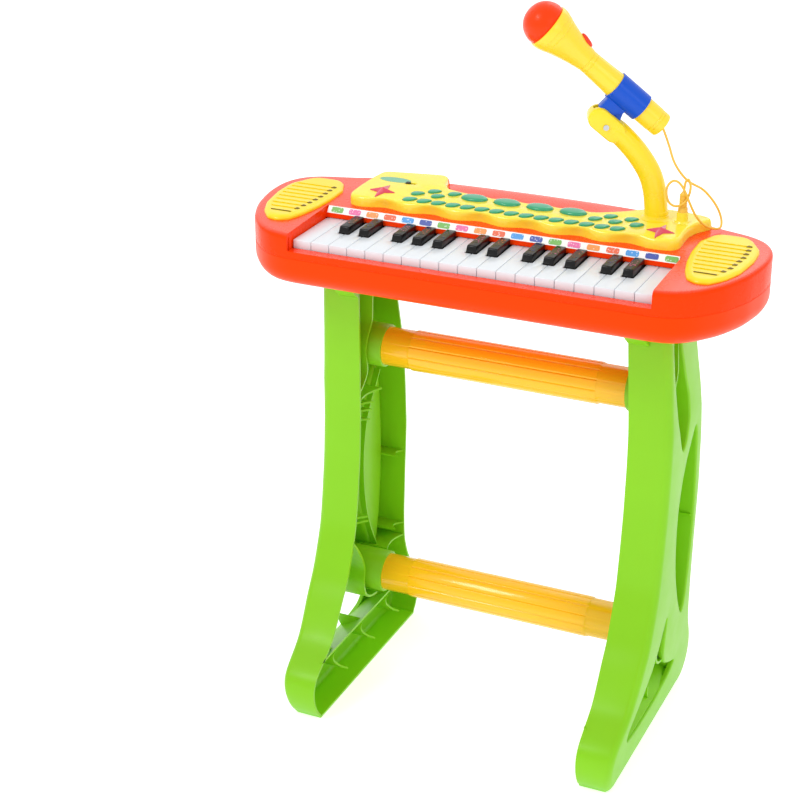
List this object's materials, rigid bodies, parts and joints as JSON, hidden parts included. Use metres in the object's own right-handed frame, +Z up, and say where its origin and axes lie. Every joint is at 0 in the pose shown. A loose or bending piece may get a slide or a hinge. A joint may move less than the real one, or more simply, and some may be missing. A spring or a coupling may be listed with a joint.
{
  "type": "toy electronic keyboard",
  "caption": "Child's standing electronic keyboard with hinged keys, a button panel, two legs joined by cross bars, and a tilting clip-on microphone on a cord.",
  "frame": {"origin": "middle of the footprint, on the floor", "axes": "+Z up, +X to the player's right along the keys, the player stands at -Y"},
  "size_m": [0.5, 0.246, 0.7209],
  "materials": {
    "white_key": "glossy off-white",
    "black_key": "glossy black",
    "case_upper": "satin orange-red",
    "case_lower": "satin orange",
    "yellow": "satin yellow",
    "speaker": "matte black",
    "board": "satin green",
    "steel": "bright",
    "button": "glossy teal green",
    "star": "glossy crimson",
    "black_plastic": "matte black",
    "leg": "satin lime green",
    "bar": "glossy amber",
    "clip": "glossy blue",
    "head": "glossy orange-red",
    "switch_red": "glossy red",
    "cord": "satin golden"
  },
  "bodies": {
    "stand_and_case": {"upper_case": "case_upper", "lower_case": "case_lower", "speaker_grilles": "yellow", "speaker_drivers": "speaker", "control_panel": "yellow", "circuit_board": "board", "key_rod": "steel", "battery_door": "case_lower", "screws": "steel", "star_lights": "star", "leg_left": "leg", "leg_right": "leg", "crossbar_upper": "bar", "crossbar_lower": "bar", "boom_arm": "yellow", "mic_cord": "cord", "mic_plug": "cord"},
    "microphone": {"mic_clip": "clip", "mic_body": "yellow", "mic_head": "head"},
    "microphone_switch": {"mic_switch": "switch_red"},
    "volume_switch": {"slide_switch": "black_plastic"},
    "pad_1": {"drum_pad_1": "button"},
    "pad_2": {"drum_pad_2": "button"},
    "pad_3": {"drum_pad_3": "button"},
    "pad_4": {"drum_pad_4": "button"},
    "front_row": {"front_row_buttons": "button"},
    "left_group": {"left_buttons": "button"},
    "right_group": {"right_buttons": "button"},
    "white_key_01": {"white_key_01": "white_key"},
    "white_key_02": {"white_key_02": "white_key"},
    "white_key_03": {"white_key_03": "white_key"},
    "white_key_04": {"white_key_04": "white_key"},
    "white_key_05": {"white_key_05": "white_key"},
    "white_key_06": {"white_key_06": "white_key"},
    "white_key_07": {"white_key_07": "white_key"},
    "white_key_08": {"white_key_08": "white_key"},
    "white_key_09": {"white_key_09": "white_key"},
    "white_key_10": {"white_key_10": "white_key"},
    "white_key_11": {"white_key_11": "white_key"},
    "white_key_12": {"white_key_12": "white_key"},
    "white_key_13": {"white_key_13": "white_key"},
    "white_key_14": {"white_key_14": "white_key"},
    "white_key_15": {"white_key_15": "white_key"},
    "white_key_16": {"white_key_16": "white_key"},
    "white_key_17": {"white_key_17": "white_key"},
    "white_key_18": {"white_key_18": "white_key"},
    "white_key_19": {"white_key_19": "white_key"},
    "black_key_01": {"black_key_01": "black_key"},
    "black_key_02": {"black_key_02": "black_key"},
    "black_key_03": {"black_key_03": "black_key"},
    "black_key_04": {"black_key_04": "black_key"},
    "black_key_05": {"black_key_05": "black_key"},
    "black_key_06": {"black_key_06": "black_key"},
    "black_key_07": {"black_key_07": "black_key"},
    "black_key_08": {"black_key_08": "black_key"},
    "black_key_09": {"black_key_09": "black_key"},
    "black_key_10": {"black_key_10": "black_key"},
    "black_key_11": {"black_key_11": "black_key"},
    "black_key_12": {"black_key_12": "black_key"}
  },
  "joints": [
    {"name": "microphone_tilt", "type": "hinge", "parent": "stand_and_case", "child": "microphone", "pos_m": [0.08621, 0.04022, 0.6099], "axis": [-0.4226, 0.9063, 0], "range_deg": [-40, 3]},
    {"name": "microphone_switch_slide", "type": "slide", "parent": "microphone", "child": "microphone_switch", "axis": [-0.6881, -0.3209, 0.6508], "range_m": [0, 0.004]},
    {"name": "volume_switch_slide", "type": "slide", "parent": "stand_and_case", "child": "volume_switch", "axis": [1, 0, 0], "range_m": [0, 0.005]},
    {"name": "drum_pad_1_press", "type": "slide", "parent": "stand_and_case", "child": "pad_1", "axis": [0, 0.0349, -0.9994], "range_m": [0, 0.0018], "stiffness_N_per_m": 400, "springref_m": -0.0015},
    {"name": "drum_pad_2_press", "type": "slide", "parent": "stand_and_case", "child": "pad_2", "axis": [0, 0.0349, -0.9994], "range_m": [0, 0.0018], "stiffness_N_per_m": 400, "springref_m": -0.0015},
    {"name": "drum_pad_3_press", "type": "slide", "parent": "stand_and_case", "child": "pad_3", "axis": [0, 0.0349, -0.9994], "range_m": [0, 0.0018], "stiffness_N_per_m": 400, "springref_m": -0.0015},
    {"name": "drum_pad_4_press", "type": "slide", "parent": "stand_and_case", "child": "pad_4", "axis": [0, 0.0349, -0.9994], "range_m": [0, 0.0018], "stiffness_N_per_m": 400, "springref_m": -0.0015},
    {"name": "front_row_press", "type": "slide", "parent": "stand_and_case", "child": "front_row", "axis": [0, 0.0349, -0.9994], "range_m": [0, 0.0018], "stiffness_N_per_m": 400, "springref_m": -0.0015},
    {"name": "left_buttons_press", "type": "slide", "parent": "stand_and_case", "child": "left_group", "axis": [0, 0.0349, -0.9994], "range_m": [0, 0.0018], "stiffness_N_per_m": 400, "springref_m": -0.0015},
    {"name": "right_buttons_press", "type": "slide", "parent": "stand_and_case", "child": "right_group", "axis": [0, 0.0349, -0.9994], "range_m": [0, 0.0018], "stiffness_N_per_m": 400, "springref_m": -0.0015},
    {"name": "white_key_01_press", "type": "hinge", "parent": "stand_and_case", "child": "white_key_01", "pos_m": [0, 0.03, 0.488], "axis": [1, 0, 0], "range_deg": [0, 3], "stiffness_Nm_per_rad": 0.4, "springref_deg": -3.44},
    {"name": "white_key_02_press", "type": "hinge", "parent": "stand_and_case", "child": "white_key_02", "pos_m": [0, 0.03, 0.488], "axis": [1, 0, 0], "range_deg": [0, 3], "stiffness_Nm_per_rad": 0.4, "springref_deg": -3.44},
    {"name": "white_key_03_press", "type": "hinge", "parent": "stand_and_case", "child": "white_key_03", "pos_m": [0, 0.03, 0.488], "axis": [1, 0, 0], "range_deg": [0, 3], "stiffness_Nm_per_rad": 0.4, "springref_deg": -3.44},
    {"name": "white_key_04_press", "type": "hinge", "parent": "stand_and_case", "child": "white_key_04", "pos_m": [0, 0.03, 0.488], "axis": [1, 0, 0], "range_deg": [0, 3], "stiffness_Nm_per_rad": 0.4, "springref_deg": -3.44},
    {"name": "white_key_05_press", "type": "hinge", "parent": "stand_and_case", "child": "white_key_05", "pos_m": [0, 0.03, 0.488], "axis": [1, 0, 0], "range_deg": [0, 3], "stiffness_Nm_per_rad": 0.4, "springref_deg": -3.44},
    {"name": "white_key_06_press", "type": "hinge", "parent": "stand_and_case", "child": "white_key_06", "pos_m": [0, 0.03, 0.488], "axis": [1, 0, 0], "range_deg": [0, 3], "stiffness_Nm_per_rad": 0.4, "springref_deg": -3.44},
    {"name": "white_key_07_press", "type": "hinge", "parent": "stand_and_case", "child": "white_key_07", "pos_m": [0, 0.03, 0.488], "axis": [1, 0, 0], "range_deg": [0, 3], "stiffness_Nm_per_rad": 0.4, "springref_deg": -3.44},
    {"name": "white_key_08_press", "type": "hinge", "parent": "stand_and_case", "child": "white_key_08", "pos_m": [0, 0.03, 0.488], "axis": [1, 0, 0], "range_deg": [0, 3], "stiffness_Nm_per_rad": 0.4, "springref_deg": -3.44},
    {"name": "white_key_09_press", "type": "hinge", "parent": "stand_and_case", "child": "white_key_09", "pos_m": [0, 0.03, 0.488], "axis": [1, 0, 0], "range_deg": [0, 3], "stiffness_Nm_per_rad": 0.4, "springref_deg": -3.44},
    {"name": "white_key_10_press", "type": "hinge", "parent": "stand_and_case", "child": "white_key_10", "pos_m": [0, 0.03, 0.488], "axis": [1, 0, 0], "range_deg": [0, 3], "stiffness_Nm_per_rad": 0.4, "springref_deg": -3.44},
    {"name": "white_key_11_press", "type": "hinge", "parent": "stand_and_case", "child": "white_key_11", "pos_m": [0, 0.03, 0.488], "axis": [1, 0, 0], "range_deg": [0, 3], "stiffness_Nm_per_rad": 0.4, "springref_deg": -3.44},
    {"name": "white_key_12_press", "type": "hinge", "parent": "stand_and_case", "child": "white_key_12", "pos_m": [0, 0.03, 0.488], "axis": [1, 0, 0], "range_deg": [0, 3], "stiffness_Nm_per_rad": 0.4, "springref_deg": -3.44},
    {"name": "white_key_13_press", "type": "hinge", "parent": "stand_and_case", "child": "white_key_13", "pos_m": [0, 0.03, 0.488], "axis": [1, 0, 0], "range_deg": [0, 3], "stiffness_Nm_per_rad": 0.4, "springref_deg": -3.44},
    {"name": "white_key_14_press", "type": "hinge", "parent": "stand_and_case", "child": "white_key_14", "pos_m": [0, 0.03, 0.488], "axis": [1, 0, 0], "range_deg": [0, 3], "stiffness_Nm_per_rad": 0.4, "springref_deg": -3.44},
    {"name": "white_key_15_press", "type": "hinge", "parent": "stand_and_case", "child": "white_key_15", "pos_m": [0, 0.03, 0.488], "axis": [1, 0, 0], "range_deg": [0, 3], "stiffness_Nm_per_rad": 0.4, "springref_deg": -3.44},
    {"name": "white_key_16_press", "type": "hinge", "parent": "stand_and_case", "child": "white_key_16", "pos_m": [0, 0.03, 0.488], "axis": [1, 0, 0], "range_deg": [0, 3], "stiffness_Nm_per_rad": 0.4, "springref_deg": -3.44},
    {"name": "white_key_17_press", "type": "hinge", "parent": "stand_and_case", "child": "white_key_17", "pos_m": [0, 0.03, 0.488], "axis": [1, 0, 0], "range_deg": [0, 3], "stiffness_Nm_per_rad": 0.4, "springref_deg": -3.44},
    {"name": "white_key_18_press", "type": "hinge", "parent": "stand_and_case", "child": "white_key_18", "pos_m": [0, 0.03, 0.488], "axis": [1, 0, 0], "range_deg": [0, 3], "stiffness_Nm_per_rad": 0.4, "springref_deg": -3.44},
    {"name": "white_key_19_press", "type": "hinge", "parent": "stand_and_case", "child": "white_key_19", "pos_m": [0, 0.03, 0.488], "axis": [1, 0, 0], "range_deg": [0, 3], "stiffness_Nm_per_rad": 0.4, "springref_deg": -3.44},
    {"name": "black_key_01_press", "type": "hinge", "parent": "stand_and_case", "child": "black_key_01", "pos_m": [0, 0.03, 0.488], "axis": [1, 0, 0], "range_deg": [0, 3], "stiffness_Nm_per_rad": 0.4, "springref_deg": -3.44},
    {"name": "black_key_02_press", "type": "hinge", "parent": "stand_and_case", "child": "black_key_02", "pos_m": [0, 0.03, 0.488], "axis": [1, 0, 0], "range_deg": [0, 3], "stiffness_Nm_per_rad": 0.4, "springref_deg": -3.44},
    {"name": "black_key_03_press", "type": "hinge", "parent": "stand_and_case", "child": "black_key_03", "pos_m": [0, 0.03, 0.488], "axis": [1, 0, 0], "range_deg": [0, 3], "stiffness_Nm_per_rad": 0.4, "springref_deg": -3.44},
    {"name": "black_key_04_press", "type": "hinge", "parent": "stand_and_case", "child": "black_key_04", "pos_m": [0, 0.03, 0.488], "axis": [1, 0, 0], "range_deg": [0, 3], "stiffness_Nm_per_rad": 0.4, "springref_deg": -3.44},
    {"name": "black_key_05_press", "type": "hinge", "parent": "stand_and_case", "child": "black_key_05", "pos_m": [0, 0.03, 0.488], "axis": [1, 0, 0], "range_deg": [0, 3], "stiffness_Nm_per_rad": 0.4, "springref_deg": -3.44},
    {"name": "black_key_06_press", "type": "hinge", "parent": "stand_and_case", "child": "black_key_06", "pos_m": [0, 0.03, 0.488], "axis": [1, 0, 0], "range_deg": [0, 3], "stiffness_Nm_per_rad": 0.4, "springref_deg": -3.44},
    {"name": "black_key_07_press", "type": "hinge", "parent": "stand_and_case", "child": "black_key_07", "pos_m": [0, 0.03, 0.488], "axis": [1, 0, 0], "range_deg": [0, 3], "stiffness_Nm_per_rad": 0.4, "springref_deg": -3.44},
    {"name": "black_key_08_press", "type": "hinge", "parent": "stand_and_case", "child": "black_key_08", "pos_m": [0, 0.03, 0.488], "axis": [1, 0, 0], "range_deg": [0, 3], "stiffness_Nm_per_rad": 0.4, "springref_deg": -3.44},
    {"name": "black_key_09_press", "type": "hinge", "parent": "stand_and_case", "child": "black_key_09", "pos_m": [0, 0.03, 0.488], "axis": [1, 0, 0], "range_deg": [0, 3], "stiffness_Nm_per_rad": 0.4, "springref_deg": -3.44},
    {"name": "black_key_10_press", "type": "hinge", "parent": "stand_and_case", "child": "black_key_10", "pos_m": [0, 0.03, 0.488], "axis": [1, 0, 0], "range_deg": [0, 3], "stiffness_Nm_per_rad": 0.4, "springref_deg": -3.44},
    {"name": "black_key_11_press", "type": "hinge", "parent": "stand_and_case", "child": "black_key_11", "pos_m": [0, 0.03, 0.488], "axis": [1, 0, 0], "range_deg": [0, 3], "stiffness_Nm_per_rad": 0.4, "springref_deg": -3.44},
    {"name": "black_key_12_press", "type": "hinge", "parent": "stand_and_case", "child": "black_key_12", "pos_m": [0, 0.03, 0.488], "axis": [1, 0, 0], "range_deg": [0, 3], "stiffness_Nm_per_rad": 0.4, "springref_deg": -3.44}
  ]
}
